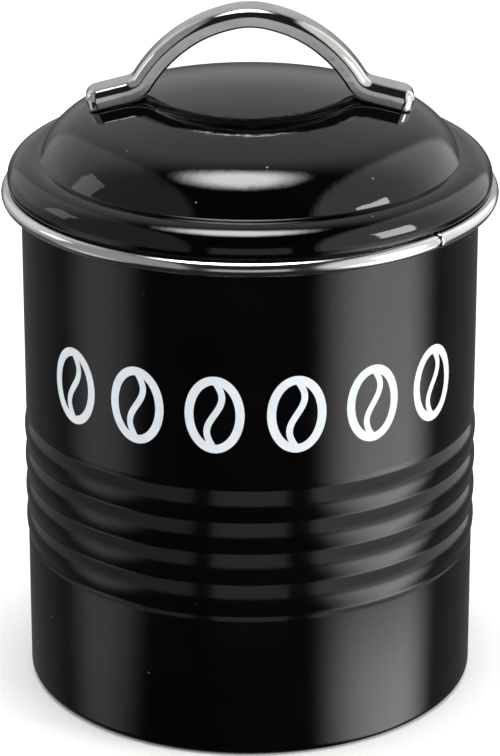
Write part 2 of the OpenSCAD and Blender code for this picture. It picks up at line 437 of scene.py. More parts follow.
def smooth(piece: bpy.types.Object, sharp: float = 32.0) -> bpy.types.Object:
    """Closes a piece's seams, turns its faces outwards and shades it smooth below an angle."""
    mesh = piece.data
    form = bmesh.new()
    form.from_mesh(mesh)
    bmesh.ops.remove_doubles(form, verts=form.verts, dist=1e-7)
    bmesh.ops.dissolve_degenerate(form, edges=form.edges, dist=1e-8)
    bmesh.ops.recalc_face_normals(form, faces=form.faces)
    form.to_mesh(mesh)
    form.free()
    mesh.shade_smooth()
    mesh.set_sharp_from_angle(angle=radians(sharp))
    return piece


def lathe(name: str, outline: list[Point], segments: int = 288, sharp: float = 32.0) -> bpy.types.Object:
    """Turns a closed outline of (radius, height) points round the Z axis.

    Args:
        name: The piece's name.
        outline: The outline; a point on the axis becomes one pole.
        segments: Steps round the axis.
        sharp: Angle in degrees above which an edge is sharp.

    Returns:
        The piece.
    """
    turns = [(cos(2 * pi * j / segments), sin(2 * pi * j / segments)) for j in range(segments)]
    vertices = [(r * c, r * s, z) for r, z in outline for c, s in turns]
    faces = []
    for i in range(len(outline)):
        a, b = i * segments, (i + 1) % len(outline) * segments
        if outline[i][0] == 0 and outline[(i + 1) % len(outline)][0] == 0:
            continue
        faces += [(a + j, a + (j + 1) % segments, b + (j + 1) % segments, b + j) for j in range(segments)]
    return make_piece(name, vertices, faces, sharp)


def settle_on(piece: bpy.types.Object, body: Body, slot: Slot, coat: bpy.types.Material,
              *nodes: str) -> bpy.types.Object:
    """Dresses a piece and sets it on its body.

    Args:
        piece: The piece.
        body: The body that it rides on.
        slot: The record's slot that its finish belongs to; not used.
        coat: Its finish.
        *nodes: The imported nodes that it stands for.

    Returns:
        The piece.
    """
    piece.data.materials.clear()
    piece.data.materials.append(coat)
    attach(piece, body.value)
    if nodes:
        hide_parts(*nodes)
        for node in nodes:
            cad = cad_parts[node]
            cad.data.materials.clear()
            cad.data.materials.append(coat)
    LOG.info("%s on %s, %d faces", piece.name, body.value, len(piece.data.polygons))
    return piece


# ---- Finishes ----


@dataclass(frozen=True)
class PowderCoat:
    """Black stoved coating on steel sheet: orange peel, dull patches and a few specks of dust."""

    name: str
    tint: Colour = (0.0003, 0.0003, 0.0004)
    worn: Colour = (0.0009, 0.0009, 0.001)
    dust: Colour = (0.16, 0.17, 0.18)
    gloss: float = 0.14
    gloss_spread: float = 0.05
    peel_scale: float = 700.0
    peel_depth: float = 0.00001
    grain_scale: float = 5200.0
    grain_depth: float = 0.0000012
    speck_scale: float = 260.0
    speck_size: float = 0.09
    reflection: float = 0.5

    def build(self) -> bpy.types.Material:
        """Makes the material."""
        tree = SurfaceTree(self.name)
        patches = tree.noise(38.0, 4.0)
        peel = tree.noise(self.peel_scale, 1.5)
        grain = tree.noise(self.grain_scale, 2.0)
        dust = tree.specks(self.speck_scale, self.speck_size) * patches.ramp(0.35, 0.6)
        colour = tree.mix(patches.ramp(0.3, 0.75), self.tint, self.worn)
        colour = tree.mix(1 - dust, self.dust, colour)
        rough = self.gloss + self.gloss_spread * (patches + grain - 1) + dust * 0.4
        relief = tree.bump(grain, self.grain_depth, tree.bump(peel, self.peel_depth))
        return tree.finish(
            Base_Color=colour, Roughness=rough, Normal=relief, Specular_IOR_Level=self.reflection
        )


@dataclass(frozen=True)
class Steel:
    """Bare or plated metal with a drawn grain, fingerprints and fine scratches."""

    name: str
    light: Colour = (0.80, 0.79, 0.77)
    dark: Colour = (0.62, 0.61, 0.60)
    gloss: float = 0.14
    gloss_spread: float = 0.12
    grain: Sequence[float] = (1.0, 1.0, 40.0)
    grain_scale: float = 60.0
    grain_depth: float = 0.000002
    mottle_scale: float = 90.0
    mottle_depth: float = 0.00001

    def build(self) -> bpy.types.Material:
        """Makes the material."""
        tree = SurfaceTree(self.name)
        prints = tree.noise(120.0, 4.0)
        drawn = tree.noise(self.grain_scale, 5.0, self.grain, 0.65)
        mottle = tree.noise(self.mottle_scale, 2.0)
        # Colour between light and dark by fingerprints and drawn grain; on the handle's chrome this darker
        # grain tone is partly painted reflection.
        colour = tree.mix(prints.ramp(0.3, 0.7) * 0.5 + drawn * 0.4, self.light, self.dark)
        rough = self.gloss + self.gloss_spread * (drawn * 0.6 + prints * 0.8 - 0.7)
        relief = tree.bump(drawn, self.grain_depth, tree.bump(mottle, self.mottle_depth))
        return tree.finish(Base_Color=colour, Metallic=1.0, Roughness=rough.most(0.02), Normal=relief)


@dataclass(frozen=True)
class Silicone:
    """Milky rubber with a soft sheen and a little lint."""

    name: str
    tint: Colour = (0.60, 0.60, 0.57)
    shade: Colour = (0.48, 0.47, 0.44)
    lint: Colour = (0.25, 0.23, 0.2)

    def build(self) -> bpy.types.Material:
        """Makes the material."""
        tree = SurfaceTree(self.name)
        cloud = tree.noise(55.0, 4.0)
        fine = tree.noise(2400.0, 2.0)
        lint = tree.specks(420.0, 0.12)
        colour = tree.mix(1 - lint, self.lint, tree.mix(cloud.ramp(0.3, 0.7), self.tint, self.shade))
        return tree.finish(
            Base_Color=colour, Roughness=0.42 + fine * 0.2, Normal=tree.bump(fine, 0.000006),
            Subsurface_Weight=0.12, Subsurface_Scale=0.002, Sheen_Weight=0.15,
        )


@dataclass(frozen=True)
class Ink:
    """Screen-printed white ink: a faint mesh texture, thinner in places."""

    name: str
    tint: Colour = (0.60, 0.65, 0.69)
    thin: Colour = (0.46, 0.50, 0.54)

    def build(self) -> bpy.types.Material:
        """Makes the material."""
        tree = SurfaceTree(self.name)
        cloud = tree.noise(240.0, 4.0)
        mesh = tree.noise(3800.0, 1.0)
        pores = tree.specks(1500.0, 0.2)
        cover = cloud.ramp(0.35, 0.75) * 0.35 + pores * 0.5
        return tree.finish(
            Base_Color=tree.mix(cover, self.tint, self.thin), Roughness=0.38 + mesh * 0.2,
            Normal=tree.bump(mesh, 0.000003),
        )


@dataclass(frozen=True)
class PaleTable:
    """Matt white studio table with a hardly visible grain."""

    name: str
    tint: Colour = (0.93, 0.93, 0.93)
    shade: Colour = (0.90, 0.90, 0.895)

    def build(self) -> bpy.types.Material:
        """Makes the material."""
        tree = SurfaceTree(self.name)
        grain = tree.noise(400.0, 3.0)
        return tree.finish(
            Base_Color=tree.mix(grain, self.tint, self.shade), Roughness=0.9, Normal=tree.bump(grain, 0.00001)
        )


# ---- Canister ----


@dataclass
class Canister:
    """The can: side wall with ribs, foot disc, rim ring and the printed row of coffee beans."""

    coat: bpy.types.Material
    base_coat: bpy.types.Material
    ring_steel: bpy.types.Material
    ink: bpy.types.Material
    radius: float = 52.5 * MM
    wall: float = 0.5 * MM
    foot_corner: float = 1.9 * MM
    foot_width: float = 3.1 * MM
    rib_top: float = 65.7 * MM
    rib_pitch: float = 7.6 * MM
    rib_count: int = 4
    rib_out: float = 0.4 * MM
    rib_in: float = 0.15 * MM
    groove_part: float = 0.2
    bend: float = 0.8 * MM
    joint_gap: float = 0.35 * MM
    joint_angle: float = 47.5
    bean_count: int = 6
    bean_height: float = 18.2 * MM
    bean_width: float = 13.4 * MM
    bean_stroke: float = 2.0 * MM
    crease_stroke: float = 1.5 * MM
    bean_pitch: float = 20.0
    bean_centre: float = 1.4
    bean_middle: float = 84.0 * MM
    ink_depth: float = 0.05 * MM
    crease_swing: float = 0.3
    blunt_end: float = 0.12
    panel_slope: float = 1.8 * MM
    panel_round: float = 0.7 * MM
    bead_out: float = 24 * MM
    bead_in: float = 21.2 * MM
    bead_side: float = 0.8 * MM
    bead_depth: float = 0.6 * MM

    def side_wall(self) -> bpy.types.Object:
        """The side wall: folded foot, four pressed ribs, and the flange inside the ring."""
        low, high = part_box("body_wall")
        foot_out = self.radius - self.foot_corner
        bend_z = high.z - self.wall - self.bend
        rib_low = self.rib_top - self.rib_pitch * (self.rib_count + self.groove_part)
        rib_high = self.rib_top + self.rib_pitch * self.groove_part
        steps = 96
        line = (
            [(foot_out - self.foot_width, low.z)]
            + arc((foot_out, low.z + self.foot_corner), self.foot_corner, -90, 0, 10)
            + [(self.radius, rib_low + (rib_high - rib_low) * i / steps) for i in range(steps + 1)]
            + arc((self.radius + self.bend, bend_z), self.bend, 180, 90, 8)
            + [(high.x, bend_z + self.bend)]
        )
        piece = lathe("side_wall", sheet(line, self.wall), 240)
        tree = ShapeTree(
            "Rib pressing", rib_top=self.rib_top, rib_pitch=self.rib_pitch, rib_count=float(self.rib_count),
            rib_out=self.rib_out, rib_in=self.rib_in, groove_part=self.groove_part,
        )
        spot = tree.signal("GeometryNodeInputPosition")
        x, y, z = tree.split(spot)
        count = tree.size("Rib Count")
        along = (tree.size("Rib Top") - z) / tree.size("Rib Pitch")
        inside = (abs(along - count / 2) < count / 2)
        wave = (tree.size("Rib Out") + tree.size("Rib In")) * abs((along * pi).sine()) - tree.size("Rib In")
        past = (abs(along - count / 2) - count / 2).most(0) / tree.size("Groove Part")
        groove = tree.size("Rib In") * -0.5 * ((past.least(1) * pi).cosine() + 1)
        push = inside * wave + (1 - inside) * groove
        reach = (x * x + y * y).power(0.5).most(1e-6)
        shift = tree.vector(x / reach * push, y / reach * push, 0.0)
        pressed = tree.signal("GeometryNodeSetPosition", None, {"Geometry": tree.shape, "Offset": shift})
        smooth(tree.bake(piece, pressed, self.coat))
        return settle_on(piece, Body.CAN, Slot.BODY_COAT, self.coat, "body_wall")

    def foot_disc(self) -> bpy.types.Object:
        """The disc seamed into the foot, with its raised panel and a stiffening bead."""
        low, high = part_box("base_disc")
        seam_in = self.radius - self.foot_corner - self.foot_width - self.wall
        panel = high.z - self.wall
        line = [
            (high.x, low.z), (seam_in, low.z), (seam_in - self.panel_slope, panel), (self.bead_out, panel),
            (self.bead_out - self.bead_side, panel - self.bead_depth),
            (self.bead_in + self.bead_side, panel - self.bead_depth), (self.bead_in, panel), (0.0, panel),
        ]
        piece = lathe("foot_disc", sheet(soften(line, self.panel_round), -self.wall), 240)
        return settle_on(piece, Body.CAN, Slot.BASE_COAT, self.base_coat, "base_disc")

    def rim_ring(self) -> bpy.types.Object:
        """The ring: a tube bent round the rim, whose two rounded ends meet at the butt joint."""
        low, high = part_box("rim_ring")
        tube = (high.z - low.z) / 2
        outer = min(high.x, -low.x, high.y, -low.y)
        tree = ShapeTree(
            "Rim tube", ring_radius=outer - tube, height=(low.z + high.z) / 2, tube_radius=tube * 0.999,
            joint_angle=radians(self.joint_angle - 90), joint_gap=self.joint_gap, end_round=0.7 * MM,
            ripple=0.012, points=900, facets=28,
        )
        radius = tree.size("Ring Radius")
        gap = tree.size("Joint Gap") / radius
        sweep = 2 * pi - gap
        path = tree.signal("GeometryNodeCurveArc", {"mode": "RADIUS"}, {
            "Resolution": tree.size("Points"), "Radius": radius,
            "Start Angle": tree.size("Joint Angle") + gap / 2, "Sweep Angle": sweep,
        })
        lift = tree.vector(0.0, 0.0, tree.size("Height"))
        path = tree.signal("GeometryNodeSetPosition", None, {"Geometry": path, "Offset": lift})
        along = tree.signal("GeometryNodeSplineParameter", output="Factor")
        end = (along.least(1 - along) * sweep * radius / tree.size("End Round")).least(1)
        rounding = tree.size("End Round") * (1 - (1 - (1 - end).power(2)).power(0.5))
        noise = tree.signal("ShaderNodeTexNoise", None, {"Scale": 160.0, "Detail": 1.0})
        thick = tree.size("Tube Radius") * (1 - tree.size("Ripple") * noise) - rounding
        section = tree.signal(
            "GeometryNodeCurvePrimitiveCircle", None, {"Resolution": tree.size("Facets"), "Radius": 1.0}
        )
        tube_mesh = tree.signal("GeometryNodeCurveToMesh", None, {
            "Curve": path, "Profile Curve": section, "Scale": thick, "Fill Caps": True,
        })
        piece = make_piece("rim_tube", [], [])
        smooth(tree.bake(piece, tube_mesh, self.ring_steel), 50.0)
        return settle_on(piece, Body.CAN, Slot.RING_STEEL, self.ring_steel, "rim_ring")

    def bean(self) -> bpy.types.Object:
        """One flat coffee bean in outline, upright in the XZ plane: an oval band and its S-shaped crease."""
        half_w = (self.bean_width - self.bean_stroke) / 2
        half_h = (self.bean_height - self.bean_stroke) / 2
        oval_steps, crease_steps = 72, 48
        turns = [2 * pi * i / oval_steps for i in range(oval_steps + 1)]
        oval = [(half_w * sin(a), half_h * cos(a)) for a in turns]
        parts = [2 * i / crease_steps - 1 for i in range(crease_steps + 1)]
        crease = [(self.crease_swing * half_w * sin(pi * t), half_h * t) for t in parts]
        vertices: list = []
        faces: list = []
        self.stroke(oval, True, self.bean_stroke / 2, vertices, faces)
        self.stroke(crease, False, self.crease_stroke / 2, vertices, faces)
        return make_piece("bean_row", vertices, faces)

    def stroke(self, path: list[Point], closed: bool, half: float, vertices: list, faces: list) -> None:
        """Adds a thin slab of ink along a flat path.

        Args:
            path: The stroke's middle line; a closed one repeats its first point.
            closed: Whether it closes on itself; an open stroke gets round ends.
            half: Half the stroke's width.
            vertices: Gets the slab's points.
            faces: Gets the slab's faces.
        """
        first = len(vertices)
        lengths = [0.0]
        for a, b in zip(path, path[1:]):
            lengths.append(lengths[-1] + hypot(b[0] - a[0], b[1] - a[1]))
        count = len(path) - 1 if closed else len(path)
        for i in range(count):
            a = path[(i - 1) % (len(path) - 1)] if closed else path[max(i - 1, 0)]
            b = path[i + 1] if closed or i + 1 < len(path) else path[i]
            tangent = Vector((b[0] - a[0], b[1] - a[1])).normalized()
            end = min(lengths[i], lengths[-1] - lengths[i]) / half
            width = half if closed or end >= 1 else half * max(sqrt(1 - (1 - end) ** 2), self.blunt_end)
            for y in (self.ink_depth, -self.ink_depth):
                for across in (-width, width):
                    x, z = path[i][0] - tangent.y * across, path[i][1] + tangent.x * across
                    vertices.append((x, y, z))
        for i in range(count if closed else count - 1):
            a, b = first + 4 * i, first + 4 * ((i + 1) % count)
            faces += [(a + p, a + q, b + q, b + p) for p, q in ((0, 1), (1, 3), (3, 2), (2, 0))]
        if not closed:
            last = first + 4 * (count - 1)
            faces += [(first, first + 1, first + 3, first + 2), (last, last + 1, last + 3, last + 2)]

    def bean_print(self) -> bpy.types.Object:
        """The printed row: the bean repeated along a line and wrapped round the side wall."""
        pitch = radians(self.bean_pitch) * self.radius
        start = radians(self.bean_centre) * self.radius - pitch * (self.bean_count - 1) / 2
        tree = ShapeTree(
            "Bean print", count=self.bean_count, pitch=pitch, start=start, middle=self.bean_middle,
            wall_radius=self.radius,
        )
        first = tree.vector(tree.size("Start"), 0.0, tree.size("Middle"))
        step = tree.vector(tree.size("Pitch"), 0.0, 0.0)
        row = tree.signal("GeometryNodeMeshLine", None, {
            "Count": tree.size("Count"), "Start Location": first, "Offset": step,
        })
        beans = tree.signal("GeometryNodeInstanceOnPoints", None, {"Points": row, "Instance": tree.shape})
        flat = tree.signal("GeometryNodeRealizeInstances", None, {0: beans})
        x, y, z = tree.split(tree.signal("GeometryNodeInputPosition"))
        angle = x / tree.size("Wall Radius")
        reach = tree.size("Wall Radius") - y
        spot = tree.vector(reach * angle.sine(), reach * angle.cosine() * -1, z)
        wrapped = tree.signal("GeometryNodeSetPosition", None, {"Geometry": flat, "Position": spot})
        piece = smooth(tree.bake(self.bean(), wrapped, self.ink))
        return settle_on(piece, Body.CAN, Slot.INK, self.ink)

    def build(self) -> list[bpy.types.Object]:
        """Builds the can's pieces."""
        return [self.side_wall(), self.foot_disc(), self.rim_ring(), self.bean_print()]


# ---- Lid ----


@dataclass
class Lid:
    """The lid: a domed shell with a rounded shoulder and hem, a steel collar inside and its seal."""

    coat: bpy.types.Material
    collar_steel: bpy.types.Material
    silicone: bpy.types.Material
    thickness: float = 0.5 * MM
    skirt: float = 1.4 * MM
    shoulder_w: float = 5.95 * MM
    shoulder_h: float = 5.15 * MM
    ledge: float = 1.4 * MM
    dome_angle: float = 66.5
    knuckle: float = 17.7 * MM
    crown: float = 130 * MM
    crease: float = 0.8 * MM
    seal_lips: int = 3
    seal_groove: float = 0.9 * MM
    seal_t: float = 1.85 * MM
    lip_rise: float = 0.02 * MM
    lip_land: float = 0.38
    lip_part: float = 0.55
    lip_round: float = 0.35 * MM
    collar_round: float = 1 * MM
    radius: float = field(init=False)
    hem_z: float = field(init=False)
    dome_top: float = field(init=False)

    def __post_init__(self) -> None:
        """Takes the lid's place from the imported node."""
        low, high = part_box("lid_shell")
        self.radius, self.hem_z, self.dome_top = high.x, low.z, high.z

    @property
    def ledge_z(self) -> float:
        """Height of the flat ledge."""
        return self.hem_z + self.skirt + self.shoulder_h

    @property
    def crown_z(self) -> float:
        """Height of the crown's centre."""
        return self.dome_top - self.crown

    @property
    def dome_r(self) -> float:
        """Radius of the dome's foot."""
        return self.radius - self.shoulder_w - self.ledge

    @property
    def knuckle_centre(self) -> Point:
        """Centre of the knuckle's arc, as distance from the axis and height."""
        a = radians(self.dome_angle)
        return self.dome_r - self.knuckle * sin(a), self.ledge_z - self.knuckle * cos(a)

    def height(self, reach: float) -> float:
        """Height of the lid's crown and knuckle at a distance from the axis."""
        knuckle_x, knuckle_z = self.knuckle_centre
        if reach < knuckle_x * self.crown / (self.crown - self.knuckle):
            return self.crown_z + sqrt(self.crown**2 - reach**2)
        return knuckle_z + sqrt(max(self.knuckle**2 - (reach - knuckle_x) ** 2, 0.0))

    def dome_line(self) -> list[Point]:
        """The dome's outer face, from the crease to the middle."""
        centre = self.knuckle_centre
        join = 90 - degrees(asin(centre[0] / (self.crown - self.knuckle)))
        knuckle = arc(centre, self.knuckle, 90 - self.dome_angle, join, 28)
        crown = arc((0.0, self.crown_z), self.crown, join, 90, 24)[1:-1]
        return knuckle + crown + [(0.0, self.dome_top)]

    def shell(self) -> bpy.types.Object:
        """The shell: hem folded in, straight skirt, shoulder, ledge, crease and dome."""
        fold = self.thickness
        hem = arc((self.radius - fold, self.hem_z + fold), fold, 180, 360, 12)
        shoulder = (self.radius - self.shoulder_w, self.hem_z + self.skirt)
        outer = arc(shoulder, (self.shoulder_w, self.shoulder_h), 0, 90, 28)
        dome = self.dome_line()
        corner = [outer[-1], (self.dome_r, self.ledge_z), dome[1]]
        crease = soften(corner, self.crease, 8)[1:-1]
        face = outer + crease + dome[1:]
        inner = offset(face, self.thickness)
        inner[-1] = (0.0, self.dome_top - self.thickness)
        outline = [(self.radius - 2 * fold, self.hem_z + self.skirt)] + hem + face + inner[::-1]
        piece = lathe("lid_dome", outline, 320)
        return settle_on(piece, Body.LID, Slot.LID_COAT, self.coat, "lid_shell")

    def collar(self) -> bpy.types.Object:
        """The collar: a steel sleeve welded under the ledge, with a lip below the seal."""
        low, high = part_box("lid_collar")
        top = high.z
        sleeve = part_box("seal_ring")[1].x - self.seal_t
        line = [
            (self.dome_r - self.thickness / 2, top), (self.radius - self.shoulder_w, top),
            (sleeve, top - self.shoulder_h / 2), (sleeve, low.z + self.thickness),
            (high.x, low.z + self.thickness),
        ]
        piece = lathe("neck_collar", sheet(soften(line, self.collar_round), -self.thickness), 240)
        return settle_on(piece, Body.LID, Slot.COLLAR_STEEL, self.collar_steel, "lid_collar")

    def seal(self) -> bpy.types.Object:
        """The seal: a rubber sleeve with three rounded lips."""
        low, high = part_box("seal_ring")
        pitch = (high.z - low.z) / self.seal_lips
        root = high.x - self.seal_groove
        outline: list[Point] = [(high.x - self.seal_t, high.z), (high.x - self.seal_t, low.z)]
        for lip in range(self.seal_lips):
            z = low.z + lip * pitch
            outline += [(root, z), (high.x, z + self.lip_rise)]
            outline += [(high.x, z + pitch * self.lip_land), (root, z + pitch * self.lip_part)]
        outline += [(root, high.z), outline[0]]
        piece = lathe("seal_sleeve", soften(outline, self.lip_round, 4)[:-1], 240)
        return settle_on(piece, Body.LID, Slot.SEAL, self.silicone, "seal_ring")

    def build(self) -> list[bpy.types.Object]:
        """Builds the lid's pieces."""
        return [self.shell(), self.collar(), self.seal()]


# ---- Handle ----


@dataclass
class StrapHandle:
    """The handle: a pressed channel arched over the lid, held by two screws through the dome."""

    lid: Lid
    chrome: bpy.types.Material
    steel: bpy.types.Material
    width: float = 9 * MM
    depth: float = 4.4 * MM
    sheet_t: float = 1 * MM
    edge: float = 2.5 * MM
    top_radius: float = 20 * MM
    top_angle: float = 12.0
    side_radius: float = 34.2 * MM
    leg_angle: float = 58.5
    bend_radius: float = 3 * MM
    foot_slope: float = 14.5
    tip: float = 2.8 * MM
    growth: float = 0.03
    clearance: float = 0.03 * MM
    screw_reach: float = 32.6 * MM
    screw_radius: float = 1.9 * MM
    head_radius: float = 3.5 * MM
    head_height: float = 2.4 * MM
    washer_radius: float = 4.5 * MM
    washer_t: float = 0.8 * MM
    boss_radius: float = 3 * MM
    growth_start: float = 13 * MM
    foot_start: float = 29 * MM
    deepest: float = 7 * MM
    tip_drop: float = 3 * MM
    boss_gap: float = 0.02 * MM
    thread_gap: float = 0.05 * MM
    thread_pitch: float = 0.7 * MM
    thread_depth: float = 0.35 * MM
    screw_end_gap: float = 2 * MM
    hole_gap: float = 0.3 * MM
    washer_round: float = 0.12 * MM
    turn_steps: int = 8
    end_points: int = 3
    arcs: list[tuple[float, float, float, float]] = field(init=False)
    tip_x: float = field(init=False)

    def __post_init__(self) -> None:
        """Takes the strap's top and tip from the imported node."""
        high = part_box("handle")[1]
        self.tip_x = high.x
        self.arcs = self.path(high.z)

    def path(self, top_z: float) -> list[tuple[float, float, float, float]]:
        """Arcs along the strap's top, from the middle to the right.

        Args:
            top_z: Height of the strap's top.

        Returns:
            Centre x, centre z, signed radius and end angle of each arc, in metres and radians.
        """
        a, b, c = (radians(v) for v in (self.top_angle, self.leg_angle, self.foot_slope))
        top = (0.0, top_z - self.top_radius)
        drop = self.top_radius - self.side_radius
        side = (top[0] + drop * sin(a), top[1] + drop * cos(a))
        reach = self.side_radius + self.bend_radius
        bend = (side[0] + reach * sin(b), side[1] + reach * cos(b))
        return [(*top, self.top_radius, a), (*side, self.side_radius, b), (*bend, -self.bend_radius, c)]

    def station(self, distance: float) -> tuple[float, float, float]:
        """Place and slope on the strap's top line.

        Args:
            distance: Distance along the strap from its middle, to either side.

        Returns:
            x, z and slope, in metres and radians.
        """
        side = -1 if distance < 0 else 1
        left, angle = abs(distance), 0.0
        for cx, cz, r, end in self.arcs:
            length = abs(r * (end - angle))
            if left <= length:
                angle += (end - angle) * left / length
                return side * (cx + r * sin(angle)), cz + r * cos(angle), side * angle
            left, angle = left - length, end
            x, z = cx + r * sin(angle), cz + r * cos(angle)
        return side * (x + left * cos(angle)), z - left * sin(angle), side * angle

    def half_length(self) -> float:
        """Length of the strap from its middle to its tip."""
        low, high = 0.0, 2 * self.tip_x
        for _ in range(50):
            middle = (low + high) / 2
            low, high = (middle, high) if self.station(middle)[0] < self.tip_x else (low, middle)
        return low

    def below(self, distance: float, y: float, depth: float) -> Vector:
        """The point at a depth under the strap's top."""
        x, z, slope = self.station(distance)
        return Vector((x - depth * sin(slope), y, z - depth * cos(slope)))

    def channel_depth(self, distance: float, y: float) -> float:
        """Depth of the channel's wall: its own, or less where it meets the dome."""
        x = abs(self.station(distance)[0])
        full = self.depth + self.growth * max(0.0, x - self.growth_start)
        low, high = self.edge, self.deepest

        def gap(depth: float) -> float:
            """Space between the wall's lower edge and the dome, less the clearance."""
            p = self.below(distance, y, depth)
            return p.z - self.lid.height(hypot(p.x, p.y)) - self.clearance

        if gap(full) > 0 and x < self.foot_start:
            return full
        for _ in range(40):
            middle = (low + high) / 2
            low, high = (middle, high) if gap(middle) > 0 else (low, middle)
        return min(low, full + self.tip_drop)

    def strap(self) -> bpy.types.Object:
        """The strap: rings of points over its rounded edge, down its wall, round the lip and up inside."""
        straight, runs = self.half_length() - self.tip, 220
        middle = [straight * (2 * i / runs - 1) for i in range(runs + 1)]
        quarter = [radians(9 * i) for i in range(11)]
        half_turn = [radians(20 * i) for i in range(10)]
        inside, lip, t = self.edge - self.sheet_t, self.sheet_t / 2, self.sheet_t
        rings = [(self.edge * (1 - sin(a)), self.edge * (1 - cos(a)), 0.0) for a in quarter]
        rings += [(0.0, 0.0, wall) for wall in (0.25, 0.5, 0.75)]
        rings += [(lip * (1 - cos(a)), lip * (sin(a) - 1), 1.0) for a in half_turn]
        rings += [(t, 0.0, wall) for wall in (0.75, 0.5, 0.25)]
        rings += [(t + inside * (1 - cos(a)), t + inside * (1 - sin(a)), 0.0) for a in quarter]
        vertices: list = []
        for inset, depth, wall in rings:
            for distance, y in self.outline(middle, straight, inset):
                drop = depth
                if wall > 0:
                    drop += self.edge + (self.channel_depth(distance, y) - self.edge) * wall
                vertices.append(self.below(distance, y, drop))
        size = len(vertices) // len(rings)
        faces = []
        for k in range(len(rings) - 1):
            a, b = k * size, (k + 1) * size
            faces += [(a + i, a + (i + 1) % size, b + (i + 1) % size, b + i) for i in range(size)]
        for base in (0, (len(rings) - 1) * size):
            faces += self.cap(base, size)
        piece = make_piece("strap_handle", vertices, faces, 35.0)
        return settle_on(piece, Body.LID, Slot.CHROME, self.chrome, "handle")

    def outline(self, middle: list[float], straight: float, inset: float) -> list[Point]:
        """The strap's plan outline, moved inwards.

        Args:
            middle: Distances along the strap between its corner roundings.
            straight: Half length between the corner roundings.
            inset: How far the outline is moved inwards.

        Returns:
            Distance along the strap and y of each point, right way round.
        """
        half_w = self.width / 2
        corner = self.tip - inset
        edge = half_w - self.tip
        turn = [radians(90 * i / self.turn_steps) for i in range(1, self.turn_steps + 1)]
        right = [(straight + corner * sin(a), edge + corner * cos(a)) for a in turn]
        parts = [1 - 2 * i / (self.end_points + 1) for i in range(1, self.end_points + 1)]
        end = [(right[-1][0], edge * part) for part in parts]
        back = [(d, -y) for d, y in reversed(right)]
        top = [(d, half_w - inset) for d in middle]
        half_ring = top + right + end + back
        return half_ring + [(-d, -y) for d, y in half_ring]

    def cap(self, base: int, size: int) -> list[tuple[int, ...]]:
        """Faces that close a ring of the strap's outline across its width.

        Args:
            base: The ring's first point.
            size: Points in the ring.

        Returns:
            Quads across the strap and one face at each tip.
        """
        turn, end = self.turn_steps, self.end_points
        run = size // 2 - 2 * turn - end
        marks = [base]
        for count in 2 * (run, turn, end, turn):
            marks.append(marks[-1] + count)
        spans = [list(range(first, last)) for first, last in zip(marks, marks[1:])]
        top, right, right_end, right_back, bottom, left, left_end, left_back = spans
        upper, lower = top + right, bottom[::-1] + right_back[::-1]
        near, far = upper[:1] + left_back[::-1], lower[:1] + left
        faces: list[tuple[int, ...]] = []
        for a, b, tip in ((upper, lower, right_end), (near, far, left_end[::-1])):
            faces += [(a[i], a[i + 1], b[i + 1], b[i]) for i in range(len(a) - 1)]
            faces.append((a[-1], *tip, b[-1]))
        return faces

    def screw_angle(self) -> float:
        """Lean of each screw from the vertical, in radians."""
        return asin(self.screw_reach / self.lid.crown)

    def seat(self) -> float:
        """Distance from the crown's centre to the underside of the washers."""
        inner = self.lid.crown - self.lid.thickness
        return sqrt(inner**2 - self.washer_radius**2) - self.washer_t

    def pair(self, piece: bpy.types.Object, distance: float, coat: bpy.types.Material) -> bpy.types.Object:
        """Sets a turned part on both screw axes.

        Args:
            piece: The part, upright at the origin.
            distance: Its distance from the crown's centre.
            coat: Its finish.

        Returns:
            The piece, now a pair.
        """
        tree = ShapeTree(
            "Screw pair", lean=self.screw_angle(), distance=distance, centre_height=self.lid.crown_z
        )
        side = tree.signal("GeometryNodeInputIndex") * 2 - 1
        lean = tree.size("Lean") * side
        spot = tree.vector(
            lean.sine() * tree.size("Distance"), 0.0,
            lean.cosine() * tree.size("Distance") + tree.size("Centre Height"),
        )
        points = tree.signal("GeometryNodeMeshLine", None, {"Count": 2})
        points = tree.signal("GeometryNodeSetPosition", None, {"Geometry": points, "Position": spot})
        turn = tree.signal("FunctionNodeAxisAngleToRotation", None, {"Axis": (0, 1, 0), "Angle": lean})
        both = tree.signal("GeometryNodeInstanceOnPoints", None, {
            "Points": points, "Instance": tree.shape, "Rotation": turn,
        })
        return smooth(tree.bake(piece, both, coat))

    def bosses(self) -> bpy.types.Object:
        """The two threaded bosses under the strap's feet, chamfered at their tops."""
        top = self.strap_underside()
        height = top - self.lid.crown
        r, hole = self.boss_radius, self.screw_radius + self.thread_gap
        chamfer = r - self.width / 2 + self.edge
        outline = [(hole, 0.0), (r, 0.0), (r, height - chamfer), (r - chamfer, height), (hole, height)]
        piece = self.pair(lathe("boss_pair", outline, 72), self.lid.crown, self.steel)
        return settle_on(piece, Body.LID, Slot.FASTENER, self.steel, "handle_bosses")

    def strap_underside(self) -> float:
        """Distance from the crown's centre to the sheet of the strap's foot, along a screw."""
        foot = self.station(self.half_length() - self.tip)
        slope, lean = radians(self.foot_slope), self.screw_angle()
        reach = foot[0] * sin(slope) + (foot[1] - self.lid.crown_z) * cos(slope) - self.sheet_t
        return reach / (sin(lean) * sin(slope) + cos(lean) * cos(slope)) - self.boss_gap

